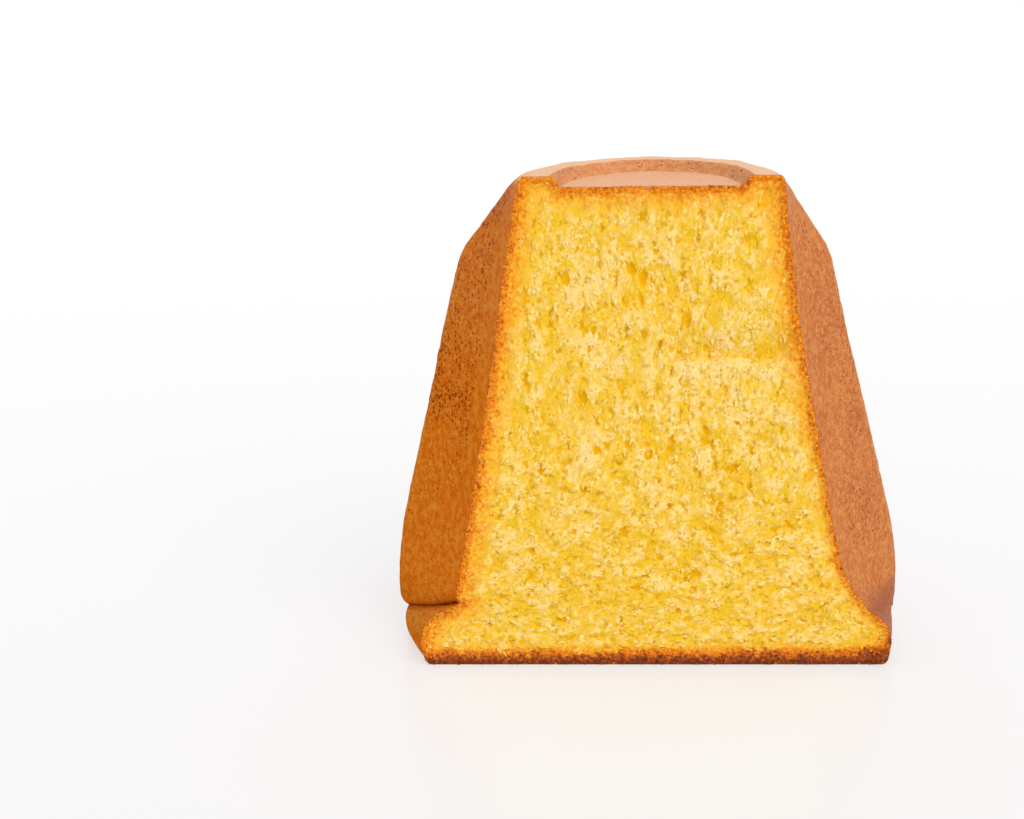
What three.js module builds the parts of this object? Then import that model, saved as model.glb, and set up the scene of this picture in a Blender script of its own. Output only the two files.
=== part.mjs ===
// Half of a tall star-shaped sweet bread, baked whole in a fluted mould and cut straight down the middle.
//
// Millimetres, +Z up. It stands on its wide end, as it is served. The cut passes through the middle along two
// opposite valleys of the star, so four whole lobes stay behind it, and the torn cut face looks towards -Y.
// It is one piece of cake, so it is one closed surface made of four patches that share their borders:
// the crust round the lobes, the top with its round recess, the flat base, and the cut face.
import * as THREE from 'three';
import { mergeVertices } from 'three/addons/utils/BufferGeometryUtils.js';

// ---- Driving dimensions ------------------------------------------------------------------------------------

const HEIGHT = 205;
const LOBES = 4;

// The valleys between the lobes open out slowly towards the wide end.
const VALLEY_TOP_RADIUS = 52;
const VALLEY_TAPER = 0.14;
const VALLEY_FLARE = 5;

// The ridge of a lobe: a slanting tip above the shoulder, a straight flank, then a belly near the wide end.
const RIDGE_TOP_RADIUS = 54.6;
const SHOULDER_RADIUS = 81.2;
const SHOULDER_HEIGHT = 169;
const SHOULDER_ROUNDING = 8;
const FLANK_TAPER = 0.262;
const BELLY_TOP = 70;
const BELLY_BOTTOM = 25;
const BELLY_SWELL = 7.9;
const RIDGE_TUCK = 2.6;
const RIDGE_TUCK_CURVE = 1.5;
const VALLEY_ROUNDING = 0.08;
const RIDGE_ROUNDING = 0.14;
const RIDGE_ROUNDING_AT_BASE = 0.36;
const ROUNDED_BELOW = 60;

// The two lobes beside the cut differ most: the left one swelled further out than the right one.
const LOBE_REACH = { first: 0.985, inner: 1, last: 1.02 };

// Dough that rose over the mould's rim: a swollen collar that fills the valleys below a crease.
// It folds over sharply beside the left end of the cut and runs out softly into the flanks elsewhere.
const CREASE_IN_VALLEY = 26;
const CREASE_ON_RIDGE = 11;
const CREASE_TILT = 1.5;
const CREASE_DEPTH = 3.4;
const CREASE_ROLL = 6;
const COLLAR_IN_VALLEY = 97.5;
const COLLAR_ON_RIDGE = 111.5;
const COLLAR_TILT = 2;
const COLLAR_BULGE = 1.2;
const COLLAR_FULL_BELOW = 0.35;
const COLLAR_TUCK = 1.2;
const COLLAR_TUCK_SHARE = 0.4;
const COLLAR_RUN_OUT = 0.4;
const COLLAR_RUN_OUT_HEIGHT = 9;
const COLLAR_RUN_OUT_CURVE = 1.5;
const SHARP_FOLD_ANGLE = Math.PI / 5;
const FOOT_ROUNDING = 3;

// The top: a rim, rounder on the ridges than in the valleys, round a shallow recess.
const RIM_ROUNDING_IN_VALLEY = 3.2;
const RIM_ROUNDING_ON_RIDGE = 8;
const RECESS_RADIUS = 39.5;
const RECESS_WALL = 4.9;
const RECESS_DEPTH = 4.2;

// The torn crumb of the cut face.
const CRUMB_SWELL = 0.8;
const CRUMB_EDGE = 8;
const CRAG_COUNT = 40;
const CRAG_DEPTH = 2.4;
const LEDGE = { left: 5, right: 60, ends: 8, height: 129, lip: 4, drop: 2.6, reach: 24 };

// Small unevenness of a hand-filled mould.
const LEAN = -2;
const LEAN_SETTLES = 8;
const TOP_TILT = 0.01;
const TOP_TILT_CURVE = 4;
const CRUST_SWELL = 0.45;
const SEED = 20;

// ---- How finely each patch is divided ----------------------------------------------------------------------

const FACE_STEPS = [0, 0.1, 0.35, 0.65, 0.9];
const COLLAR_ROWS = 12;
const FLANK_ROWS = 22;
const FLANK_SPACING = 1.25;
const TIP_ROWS = 7;
const RIM_ROWS = 4;
const FLAT_RINGS = 3;
const WALL_RINGS = 6;
const FLOOR_RINGS = 11;

// How quickly the cut face's grid turns from its base's even spacing to the spacing and the dip of its top edge.
const CUT_FOLLOWS_SIDES = 2;
const CUT_FOLLOWS_TOP = 12;

// Points closer than this are one point.
const SLENDER = 1e-4;
const WELD = 1e-3;

// The crumb's colour goes where the surface faces the front at least this much.
const FACES_FRONT = 0.75;
const CRUST_COLOUR = new THREE.Color(0xc47836);
const CRUMB_COLOUR = new THREE.Color(0xf5c64f);

// ---- Seeded draws and smooth unevenness --------------------------------------------------------------------

function seededDraw(seed) {
  let state = seed >>> 0;
  return () => {
    state = (state + 0x6d2b79f5) >>> 0;
    let mixed = Math.imul(state ^ (state >>> 15), 1 | state);
    mixed = (mixed + Math.imul(mixed ^ (mixed >>> 7), 61 | mixed)) ^ mixed;
    return ((mixed ^ (mixed >>> 14)) >>> 0) / 4294967296;
  };
}

const { lerp, clamp, smoothstep } = THREE.MathUtils;
const draw = seededDraw(SEED);
const between = (low, high) => lerp(low, high, draw());

// A bumpy field made of a few plane waves, whose crests are about `size` apart.
function makeWaves(count, size) {
  const waves = [];
  for (let i = 0; i < count; i += 1) {
    const heading = between(0, Math.PI);
    const pitch = (2 * Math.PI) / (size * between(0.7, 1.4));
    waves.push({ across: pitch * Math.cos(heading), up: pitch * Math.sin(heading), phase: between(0, 2 * Math.PI) });
  }
  return (a, b) => waves.reduce((sum, w) => sum + Math.sin(w.across * a + w.up * b + w.phase), 0) / Math.sqrt(count);
}

const crustWaves = makeWaves(6, 46);
const crumbWaves = makeWaves(8, 30);

// ---- The outline of the lobes at any height ----------------------------------------------------------------

const LOBE_ANGLE = Math.PI / LOBES;
const FACE_ANGLE = LOBE_ANGLE / 2;

function valleyRadius(z) {
  const below = HEIGHT - z;
  return VALLEY_TOP_RADIUS + VALLEY_TAPER * below + VALLEY_FLARE * (below / (HEIGHT - BELLY_BOTTOM)) ** 3;
}

// How far z lies above the shoulder, easing in round the bend.
function pastShoulder(z) {
  const above = z - SHOULDER_HEIGHT;
  if (Math.abs(above) < SHOULDER_ROUNDING) {
    return (above + SHOULDER_ROUNDING) ** 2 / (4 * SHOULDER_ROUNDING);
  }
  return Math.max(above, 0);
}

function ridgeRadius(z) {
  const tipTaper = (SHOULDER_RADIUS - RIDGE_TOP_RADIUS) / (HEIGHT - SHOULDER_HEIGHT);
  const flank = SHOULDER_RADIUS + FLANK_TAPER * (SHOULDER_HEIGHT - Math.max(z, BELLY_TOP));
  const belly = clamp((BELLY_TOP - z) / (BELLY_TOP - BELLY_BOTTOM), 0, 1);
  const tuck = clamp((BELLY_BOTTOM - z) / BELLY_BOTTOM, 0, 1);
  const tip = (tipTaper - FLANK_TAPER) * pastShoulder(z);
  return flank - tip + BELLY_SWELL * Math.sin((belly * Math.PI) / 2) - RIDGE_TUCK * tuck ** RIDGE_TUCK_CURVE;
}

// 0 in a valley and 1 on a ridge, straight between them and rounded at both ends, most of all near the base.
function ridgeness(angle, z) {
  const turn = (angle / LOBE_ANGLE) % 1;
  const t = 1 - Math.abs(1 - 2 * turn);
  const rounding = lerp(RIDGE_ROUNDING_AT_BASE, RIDGE_ROUNDING, smoothstep(z, 0, ROUNDED_BELOW));
  const slope = 1 / (1 - (VALLEY_ROUNDING + rounding) / 2);
  if (t < VALLEY_ROUNDING) {
    return (slope * t * t) / (2 * VALLEY_ROUNDING);
  }
  if (t > 1 - rounding) {
    return 1 - (slope * (1 - t) ** 2) / (2 * rounding);
  }
  return slope * (t - VALLEY_ROUNDING / 2);
}

// Radius of the flat face that joins a valley to a ridge.
function faceRadius(valley, ridge, share) {
  const turn = FACE_ANGLE * share;
  return (valley * ridge * Math.sin(FACE_ANGLE)) / (valley * Math.sin(turn) + ridge * Math.sin(FACE_ANGLE - turn));
}

function lobeReach(angle) {
  if (angle < LOBE_ANGLE) {
    return LOBE_REACH.first;
  }
  return angle > Math.PI - LOBE_ANGLE ? LOBE_REACH.last : LOBE_REACH.inner;
}

function starRadius(angle, z) {
  const share = ridgeness(angle, z);
  const wobble = CRUST_SWELL * crustWaves(angle * SHOULDER_RADIUS, z) * Math.sin(angle);
  return faceRadius(valleyRadius(z), ridgeRadius(z) * lobeReach(angle), share) + wobble;
}

function creaseHeight(angle) {
  const share = ridgeness(angle, ROUNDED_BELOW);
  return lerp(CREASE_IN_VALLEY - CREASE_TILT * Math.cos(angle), CREASE_ON_RIDGE, share);
}

// The outline of the collar where it is fullest.
function collarOutline(angle) {
  const share = ridgeness(angle, CREASE_ON_RIDGE);
  const inValley = COLLAR_IN_VALLEY + COLLAR_TILT * Math.cos(angle);
  const full = faceRadius(inValley, COLLAR_ON_RIDGE * lobeReach(angle), share);
  return full + COLLAR_BULGE * Math.sin(Math.PI * share);
}

// 1 where the collar folds over sharply, 0 where it runs out softly.
function foldSharpness(angle) {
  return smoothstep(angle, Math.PI - SHARP_FOLD_ANGLE, Math.PI - SHARP_FOLD_ANGLE / 2);
}

function collarRunOut(angle) {
  return COLLAR_RUN_OUT * (1 - foldSharpness(angle));
}

// The skin rolls in towards the crease. `away` is the height above it.
function grooveDepth(angle, away) {
  const roll = clamp(1 - away / CREASE_ROLL, 0, 1);
  return CREASE_DEPTH * foldSharpness(angle) * (1 - Math.sqrt(1 - roll ** 2));
}

// Below the crease the swollen collar stands out of the valleys. `rise` runs from 0 at the base to 1 at the crease.
function collarRadius(angle, rise) {
  const crease = creaseHeight(angle);
  const start = starRadius(angle, crease) - grooveDepth(angle, 0);
  const shoulder = Math.sqrt(1 - smoothstep(rise, COLLAR_FULL_BELOW, 1) ** 2);
  const tuck = COLLAR_TUCK * (1 - smoothstep(rise, 0, COLLAR_TUCK_SHARE));
  const foot = clamp(1 - (crease * rise) / FOOT_ROUNDING, 0, 1);
  const underneath = FOOT_ROUNDING * (1 - Math.sqrt(1 - foot ** 2));
  return lerp(start, collarOutline(angle), lerp(collarRunOut(angle), 1, shoulder)) - tuck - underneath;
}

// Above the crease the flank still carries what is left of the collar.
function flankRadius(angle, z) {
  const star = starRadius(angle, z);
  const above = z - creaseHeight(angle);
  const left = collarRunOut(angle) * Math.exp(-((above / COLLAR_RUN_OUT_HEIGHT) ** COLLAR_RUN_OUT_CURVE));
  return lerp(star, Math.max(star, collarOutline(angle)), left) - grooveDepth(angle, above);
}

function rimRounding(angle) {
  return lerp(RIM_ROUNDING_IN_VALLEY, RIM_ROUNDING_ON_RIDGE, ridgeness(angle, HEIGHT));
}

function aroundAxis(angle, radius, z) {
  return new THREE.Vector3(radius * Math.cos(angle), radius * Math.sin(angle), z);
}

// ---- The four patches --------------------------------------------------------------------------------------

// Angles from the right end of the cut round the back to its left end, finest at the valleys and ridges.
const columnAngles = [];
for (let face = 0; face < 2 * LOBES; face += 1) {
  for (const step of FACE_STEPS) {
    const share = face % 2 === 0 ? step : 1 - step;
    columnAngles.push(FACE_ANGLE * (face % 2 === 0 ? face + share : face + 1 - share));
  }
}
columnAngles.push(Math.PI);
const COLUMNS = columnAngles.length - 1;

// One column of crust from the base to the inner edge of the rounded rim.
function crustColumn(angle) {
  const column = [];
  const crease = creaseHeight(angle);
  for (let row = 0; row < COLLAR_ROWS; row += 1) {
    const rise = (1 - Math.cos((Math.PI * row) / COLLAR_ROWS)) / 2;
    column.push(aroundAxis(angle, collarRadius(angle, rise), crease * rise));
  }
  for (let row = 0; row < FLANK_ROWS; row += 1) {
    const z = lerp(crease, SHOULDER_HEIGHT, (row / FLANK_ROWS) ** FLANK_SPACING);
    column.push(aroundAxis(angle, flankRadius(angle, z), z));
  }
  const rounding = rimRounding(angle);
  const rimStart = HEIGHT - rounding;
  for (let row = 0; row < TIP_ROWS; row += 1) {
    const z = lerp(SHOULDER_HEIGHT, rimStart, row / TIP_ROWS);
    column.push(aroundAxis(angle, starRadius(angle, z), z));
  }
  const below = aroundAxis(angle, starRadius(angle, rimStart), rimStart);
  const corner = aroundAxis(angle, starRadius(angle, HEIGHT), HEIGHT);
  const inside = aroundAxis(angle, starRadius(angle, HEIGHT) - rounding, HEIGHT);
  const rim = new THREE.QuadraticBezierCurve3(below, corner, inside);
  column.push(...rim.getPoints(RIM_ROWS));
  return column;
}

// Radius and depth of the top along one direction, from the rim at ring 0 to the middle at the last ring.
function topPoint(angle, rimRadius, ring) {
  if (ring <= FLAT_RINGS) {
    return aroundAxis(angle, lerp(rimRadius, RECESS_RADIUS, ring / FLAT_RINGS), HEIGHT);
  }
  if (ring <= FLAT_RINGS + WALL_RINGS) {
    const fall = (ring - FLAT_RINGS) / WALL_RINGS;
    const depth = RECESS_DEPTH * smoothstep(fall, 0, 1);
    return aroundAxis(angle, RECESS_RADIUS - RECESS_WALL * fall, HEIGHT - depth);
  }
  const left = (TOP_RINGS - ring) / FLOOR_RINGS;
  return aroundAxis(angle, (RECESS_RADIUS - RECESS_WALL) * left, HEIGHT - RECESS_DEPTH);
}

const TOP_RINGS = FLAT_RINGS + WALL_RINGS + FLOOR_RINGS;
const crust = columnAngles.map(crustColumn);
const rows = crust[0].length - 1;

const top = columnAngles.map((angle, i) => {
  const rim = crust[i][rows];
  const rimRadius = Math.hypot(rim.x, rim.y);
  return Array.from({ length: TOP_RINGS + 1 }, (_, ring) => topPoint(angle, rimRadius, ring));
});

const crags = Array.from({ length: CRAG_COUNT }, () => ({
  x: between(-78, 78),
  z: between(30, 190),
  halfWidth: between(4, 9),
  halfHeight: between(5, 13),
  depth: between(0.4, 1) * CRAG_DEPTH,
}));

// How far the torn crumb lies behind (+) or stands in front of (-) the plane of the cut.
function crumbRelief(x, z) {
  let relief = CRUMB_SWELL * crumbWaves(x, z);
  for (const crag of crags) {
    const away = ((x - crag.x) / crag.halfWidth) ** 2 + ((z - crag.z) / crag.halfHeight) ** 2;
    relief += crag.depth * Math.exp(-away);
  }
  const fromLeft = smoothstep(x, LEDGE.left, LEDGE.left + LEDGE.ends);
  const fromRight = 1 - smoothstep(x, LEDGE.right - LEDGE.ends, LEDGE.right);
  const above = z - LEDGE.height;
  const overLedge = smoothstep(above, 0, LEDGE.lip) * (1 - smoothstep(above, LEDGE.lip, LEDGE.reach));
  return relief + LEDGE.drop * fromLeft * fromRight * overLedge;
}

// The cut face hangs between the two crust edges, the top's edge and the base's straight edge.
function cutFace() {
  const rightEdge = crust[0];
  const leftEdge = crust[COLUMNS];
  const topEdge = [...top[COLUMNS], ...top[0].slice(0, -1).reverse()];
  const across = topEdge.length - 1;
  const widthAtTop = topEdge[across].x - topEdge[0].x;
  return topEdge.map((topVertex, i) => {
    const even = i / across;
    const uneven = (topVertex.x - topEdge[0].x) / widthAtTop;
    return leftEdge.map((leftVertex, row) => {
      if (row === rows) {
        return topVertex.clone();
      }
      const rise = row / rows;
      const point = leftVertex.clone().lerp(rightEdge[row], lerp(even, uneven, rise ** CUT_FOLLOWS_SIDES));
      const fallAtTop = HEIGHT - topVertex.z;
      point.z -= fallAtTop * rise ** CUT_FOLLOWS_TOP;
      const inside = Math.min(i, across - i) === 0 || row === 0 ? 0 : 1;
      const fromSide = Math.min(point.x - leftVertex.x, rightEdge[row].x - point.x);
      const fromEnds = Math.min(point.z, HEIGHT - RECESS_DEPTH - point.z);
      const fade = smoothstep(Math.min(fromSide, fromEnds), 0, CRUMB_EDGE);
      point.y += inside * fade * crumbRelief(point.x, point.z);
      return point;
    });
  });
}

// The base is flat: a strip from the cut's straight edge back to the outline.
function baseFace(cut) {
  return cut.map((column, i) => [crust[COLUMNS - i][0], column[0]]);
}

// ---- Joining the patches into one closed surface -----------------------------------------------------------

const triangles = [];

function addTriangle(a, b, c) {
  if (a.distanceTo(b) < SLENDER || b.distanceTo(c) < SLENDER || c.distanceTo(a) < SLENDER) {
    return;
  }
  triangles.push(a, b, c);
}

// A grid of columns, each a list of points. Seen from outside, columns run to the right and points run up.
function addGrid(columns) {
  for (let i = 0; i < columns.length - 1; i += 1) {
    const [left, right] = [columns[i], columns[i + 1]];
    for (let row = 0; row < left.length - 1; row += 1) {
      addTriangle(left[row], right[row], right[row + 1]);
      addTriangle(left[row], right[row + 1], left[row + 1]);
    }
  }
}

const cut = cutFace();
addGrid(crust);
addGrid(top);
addGrid(cut);
addGrid(baseFace(cut));

const loose = new THREE.BufferGeometry().setFromPoints(triangles);
const geometry = mergeVertices(loose, WELD);

// The baked half leans a little below its top, and the top is not quite level.
const vertices = geometry.getAttribute('position');
for (let i = 0; i < vertices.count; i += 1) {
  const [x, z] = [vertices.getX(i), vertices.getZ(i)];
  const rise = z / HEIGHT;
  vertices.setX(i, x + LEAN * rise * (1 - rise ** LEAN_SETTLES));
  vertices.setZ(i, z + TOP_TILT * x * rise ** TOP_TILT_CURVE);
}

// Put the origin in the middle of the base.
geometry.computeBoundingBox();
const { min, max } = geometry.boundingBox;
geometry.translate(-(min.x + max.x) / 2, -(min.y + max.y) / 2, -min.z);
geometry.computeVertexNormals();

// Crumb on the torn face, brown crust everywhere else.
const cutPlane = -(min.y + max.y) / 2;
const normal = geometry.getAttribute('normal');
const colours = new Float32Array(vertices.count * 3);
for (let i = 0; i < vertices.count; i += 1) {
  const onCut = -normal.getY(i) > FACES_FRONT && Math.abs(vertices.getY(i) - cutPlane) < 2 * CRAG_DEPTH;
  (onCut ? CRUMB_COLOUR : CRUST_COLOUR).toArray(colours, i * 3);
}
geometry.setAttribute('color', new THREE.BufferAttribute(colours, 3));

const bread = new THREE.MeshStandardMaterial({ color: 0xffffff, vertexColors: true, roughness: 0.8, metalness: 0 });
const half = new THREE.Mesh(geometry, bread);
half.name = 'pandoro_half';

const group = new THREE.Group();
group.add(half);

export default group;
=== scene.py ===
# %% [markdown]
# # Half of a tall star-shaped sweet bread
#
# The cake was baked in a deep fluted mould, turned out onto its wide end and cut straight down the middle.
# What shows is a torn golden crumb in front, a thin browned crust round four lobes behind it, and a shallow
# round recess in the top. The construction model already has the true outline, so every piece here is grown
# from that same outline, and only the surfaces become finer: pores, grains, wrinkles and the colours of
# baking.
#
# First the construction model is opened. Its box is kept, because nothing made here may outgrow it.

import bpy
import numpy as np
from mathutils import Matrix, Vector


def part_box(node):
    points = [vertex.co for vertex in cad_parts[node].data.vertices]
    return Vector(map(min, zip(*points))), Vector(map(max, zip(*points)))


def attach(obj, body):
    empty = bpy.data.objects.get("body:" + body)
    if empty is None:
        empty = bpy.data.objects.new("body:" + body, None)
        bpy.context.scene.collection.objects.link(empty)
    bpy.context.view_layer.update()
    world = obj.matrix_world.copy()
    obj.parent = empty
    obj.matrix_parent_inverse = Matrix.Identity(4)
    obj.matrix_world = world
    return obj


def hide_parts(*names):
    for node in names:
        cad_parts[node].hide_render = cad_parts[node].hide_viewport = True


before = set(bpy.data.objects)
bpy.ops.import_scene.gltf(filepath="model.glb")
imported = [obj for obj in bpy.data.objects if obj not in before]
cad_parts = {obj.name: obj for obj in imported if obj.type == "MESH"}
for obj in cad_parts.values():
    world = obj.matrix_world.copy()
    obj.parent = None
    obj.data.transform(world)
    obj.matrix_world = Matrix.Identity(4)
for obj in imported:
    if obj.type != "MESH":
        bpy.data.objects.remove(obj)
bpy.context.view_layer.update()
NODE = "pandoro_half"
cad_low, cad_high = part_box(NODE)
MM = 0.001
print("construction box in mm:", [round(side / MM, 1) for side in cad_high - cad_low])

# %% [markdown]
# ## The camera
#
# A camera can be placed by eye, but the cut face is a flat plane whose corners are known, so the place was
# worked out from them once. The photo was taken level from a little above, with a fairly long lens, so the
# upright edges hardly lean together. The frame was cropped so that the lens looked past its middle: that is
# a shift.

# %% Place the camera
CAMERA_PLACE = (3.3 * MM, -824.7 * MM, 330.2 * MM)
CAMERA_LOOKS_DOWN = 15.89
LENS = 70.31
SHIFT_ACROSS = -0.1396

camera_data = bpy.data.cameras.new("studio_camera")
camera_data.sensor_width = 36
camera_data.lens = LENS
camera_data.shift_x = SHIFT_ACROSS
camera_data.clip_start = 0.05
camera = bpy.data.objects.new("studio_camera", camera_data)
camera.location = CAMERA_PLACE
camera.rotation_euler = (np.radians(90 - CAMERA_LOOKS_DOWN), 0, 0)
bpy.context.scene.collection.objects.link(camera)
bpy.context.scene.camera = camera
print("camera", round((camera.location - (cad_low + cad_high) / 2).length, 3), "m from the cake's middle")

# %% [markdown]
# ## The outline of the cake
#
# The lobes could be copied from the construction mesh, but its facets would show in a fine surface. The
# outline is a handful of rules, so it is written again here and can be asked for at any angle and height.
# Angles run from the right end of the cut, round the back, to its left end. Two small helpers come first.

# %% Blending helpers
def mix(low, high, share):
    return low + (high - low) * share


def ease(value, low, high):
    share = np.clip((value - low) / (high - low), 0, 1)
    return share * share * (3 - 2 * share)


# %% Valleys and ridges at any height
HEIGHT = 205 * MM
LOBES = 4
LOBE_ANGLE = np.pi / LOBES
FACE_ANGLE = LOBE_ANGLE / 2
VALLEY_TOP_RADIUS = 52 * MM
VALLEY_TAPER = 0.14
VALLEY_FLARE = 5 * MM
RIDGE_TOP_RADIUS = 54.6 * MM
SHOULDER_RADIUS = 81.2 * MM
SHOULDER_HEIGHT = 169 * MM
SHOULDER_ROUNDING = 5 * MM
FLANK_TAPER = 0.262
BELLY_TOP = 70 * MM
BELLY_BOTTOM = 25 * MM
BELLY_SWELL = 7.9 * MM
RIDGE_TUCK = 2.6 * MM


def valley_radius(z):
    below = HEIGHT - z
    return VALLEY_TOP_RADIUS + VALLEY_TAPER * below + VALLEY_FLARE * (below / (HEIGHT - BELLY_BOTTOM)) ** 3


def past_shoulder(z):
    above = z - SHOULDER_HEIGHT
    bend = (above + SHOULDER_ROUNDING) ** 2 / (4 * SHOULDER_ROUNDING)
    return np.where(np.abs(above) < SHOULDER_ROUNDING, bend, np.maximum(above, 0))


def ridge_radius(z):
    tip_taper = (SHOULDER_RADIUS - RIDGE_TOP_RADIUS) / (HEIGHT - SHOULDER_HEIGHT)
    flank = SHOULDER_RADIUS + FLANK_TAPER * (SHOULDER_HEIGHT - np.maximum(z, BELLY_TOP))
    belly = np.clip((BELLY_TOP - z) / (BELLY_TOP - BELLY_BOTTOM), 0, 1)
    tuck = np.clip((BELLY_BOTTOM - z) / BELLY_BOTTOM, 0, 1)
    tip = (tip_taper - FLANK_TAPER) * past_shoulder(z)
    return flank - tip + BELLY_SWELL * np.sin(belly * np.pi / 2) - RIDGE_TUCK * tuck**1.5


for z in (0, SHOULDER_HEIGHT, HEIGHT):
    print(f"{z / MM:.0f} mm up: valleys {valley_radius(z) / MM:.1f} mm, ridges {ridge_radius(z) / MM:.1f} mm")

# %% From a valley to a ridge
VALLEY_ROUNDING = 0.08
RIDGE_ROUNDING = 0.14
RIDGE_ROUNDING_AT_BASE = 0.36
ROUNDED_BELOW = 60 * MM
LOBE_REACH = {"first": 0.985, "inner": 1.0, "last": 1.02}


def ridgeness(angle, z):
    """0 in a valley and 1 on a ridge, straight between them and rounded at both ends."""
    across = 1 - np.abs(1 - 2 * ((angle / LOBE_ANGLE) % 1))
    rounding = mix(RIDGE_ROUNDING_AT_BASE, RIDGE_ROUNDING, ease(z, 0, ROUNDED_BELOW))
    slope = 1 / (1 - (VALLEY_ROUNDING + rounding) / 2)
    in_valley = slope * across**2 / (2 * VALLEY_ROUNDING)
    on_ridge = 1 - slope * (1 - across) ** 2 / (2 * rounding)
    flat = slope * (across - VALLEY_ROUNDING / 2)
    return np.where(across < VALLEY_ROUNDING, in_valley, np.where(across > 1 - rounding, on_ridge, flat))


def face_radius(valley, ridge, share):
    """Radius of the flat face that joins a valley to a ridge."""
    turn = FACE_ANGLE * share
    return valley * ridge * np.sin(FACE_ANGLE) / (valley * np.sin(turn) + ridge * np.sin(FACE_ANGLE - turn))


def lobe_reach(angle):
    reach = np.where(angle > np.pi - LOBE_ANGLE, LOBE_REACH["last"], LOBE_REACH["inner"])
    return np.where(angle < LOBE_ANGLE, LOBE_REACH["first"], reach)


def star_radius(angle, z):
    return face_radius(valley_radius(z), ridge_radius(z) * lobe_reach(angle), ridgeness(angle, z))


first_face = np.linspace(0, FACE_ANGLE, 5)
print("from a valley to a ridge, in mm:", np.round(star_radius(first_face, HEIGHT / 2) / MM, 1))

# %% [markdown]
# Dough that rose over the mould's rim left a swollen collar at the wide end. It fills the valleys below a
# crease. Beside the left end of the cut it folds over sharply, and everywhere else it runs out softly into
# the flanks.

# %% The collar at the wide end
CREASE_IN_VALLEY = 26 * MM
CREASE_ON_RIDGE = 11 * MM
CREASE_TILT = 1.5 * MM
CREASE_DEPTH = 3.4 * MM
CREASE_ROLL = 6 * MM
COLLAR_IN_VALLEY = 97.5 * MM
COLLAR_ON_RIDGE = 111.5 * MM
COLLAR_TILT = 2 * MM
COLLAR_BULGE = 1.2 * MM
COLLAR_TUCK = 1.2 * MM
FOOT_ROUNDING = 3 * MM
COLLAR_RUN_OUT = 0.4
COLLAR_RUN_OUT_HEIGHT = 9 * MM
SHARP_FOLD_ANGLE = np.pi / 5


def crease_height(angle):
    in_valley = CREASE_IN_VALLEY - CREASE_TILT * np.cos(angle)
    return mix(in_valley, CREASE_ON_RIDGE, ridgeness(angle, ROUNDED_BELOW))


def collar_outline(angle):
    share = ridgeness(angle, CREASE_ON_RIDGE)
    in_valley = COLLAR_IN_VALLEY + COLLAR_TILT * np.cos(angle)
    full = face_radius(in_valley, COLLAR_ON_RIDGE * lobe_reach(angle), share)
    return full + COLLAR_BULGE * np.sin(np.pi * share)


def fold_sharpness(angle):
    return ease(angle, np.pi - SHARP_FOLD_ANGLE, np.pi - SHARP_FOLD_ANGLE / 2)


def groove_depth(angle, away):
    """The skin rolls in towards the crease, from a little way off."""
    roll = np.clip(1 - away / CREASE_ROLL, 0, 1)
    return CREASE_DEPTH * fold_sharpness(angle) * (1 - np.sqrt(1 - roll**2))


def collar_radius(angle, rise):
    """Rise runs from 0 at the base to 1 at the crease."""
    start = star_radius(angle, crease_height(angle)) - groove_depth(angle, 0)
    run_out = COLLAR_RUN_OUT * (1 - fold_sharpness(angle))
    shoulder = np.sqrt(1 - ease(rise, 0.35, 1) ** 2)
    tuck = COLLAR_TUCK * (1 - ease(rise, 0, 0.4))
    foot = np.clip(1 - crease_height(angle) * rise / FOOT_ROUNDING, 0, 1)
    underneath = FOOT_ROUNDING * (1 - np.sqrt(1 - foot**2))
    return mix(start, collar_outline(angle), mix(run_out, 1, shoulder)) - tuck - underneath


def flank_radius(angle, z):
    star = star_radius(angle, z)
    above = np.maximum(z - crease_height(angle), 0)
    run_out = COLLAR_RUN_OUT * (1 - fold_sharpness(angle))
    left = run_out * np.exp(-((above / COLLAR_RUN_OUT_HEIGHT) ** 1.5))
    return mix(star, np.maximum(star, collar_outline(angle)), left) - groove_depth(angle, above)


print("crease", round(float(crease_height(np.pi)) / MM, 1), "mm up at the left end of the cut")

# %% [markdown]
# ## Unevenness
#
# Bread is never smooth. Two kinds of seeded noise give everything that follows: soft noise for swells and
# wrinkles, and cell noise, the distance to scattered points, for bubbles and grains. Texture nodes can do
# both, but here they move real vertices, so that the surface is there from every side and in the exported
# meshes.

# %% Seeded noise
def draw_for(cells, seed):
    """A repeatable draw from 0 to 1 for each whole-numbered cell."""
    state = np.full(cells.shape[:-1], 2654435769 * (seed + 1) % 2**32, np.uint32)
    for axis in range(cells.shape[-1]):
        state = (state ^ (cells[..., axis] & 0xFFFFFFFF).astype(np.uint32)) * np.uint32(0x9E3779B1)
        state = (state ^ (state >> np.uint32(15))) * np.uint32(0x85EBCA77)
        state = state ^ (state >> np.uint32(13))
    return state / 2**32


def soft_noise(points, size, seed):
    """Smooth bumps from -1 to 1, about `size` across."""
    scaled = points / size
    corner = np.floor(scaled).astype(np.int64)
    part = scaled - corner
    part = part**3 * (part * (part * 6 - 15) + 10)
    total = 0
    for step in np.ndindex(*(2,) * points.shape[-1]):
        weight = np.prod(np.where(np.array(step) == 1, part, 1 - part), axis=-1)
        total = total + weight * draw_for(corner + np.array(step), seed)
    return 2 * total - 1


def layered_noise(points, size, seed, layers=3):
    total = sum(soft_noise(points, size / 2**layer, seed + layer) / 2**layer for layer in range(layers))
    return total / (2 - 0.5 ** (layers - 1))


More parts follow.
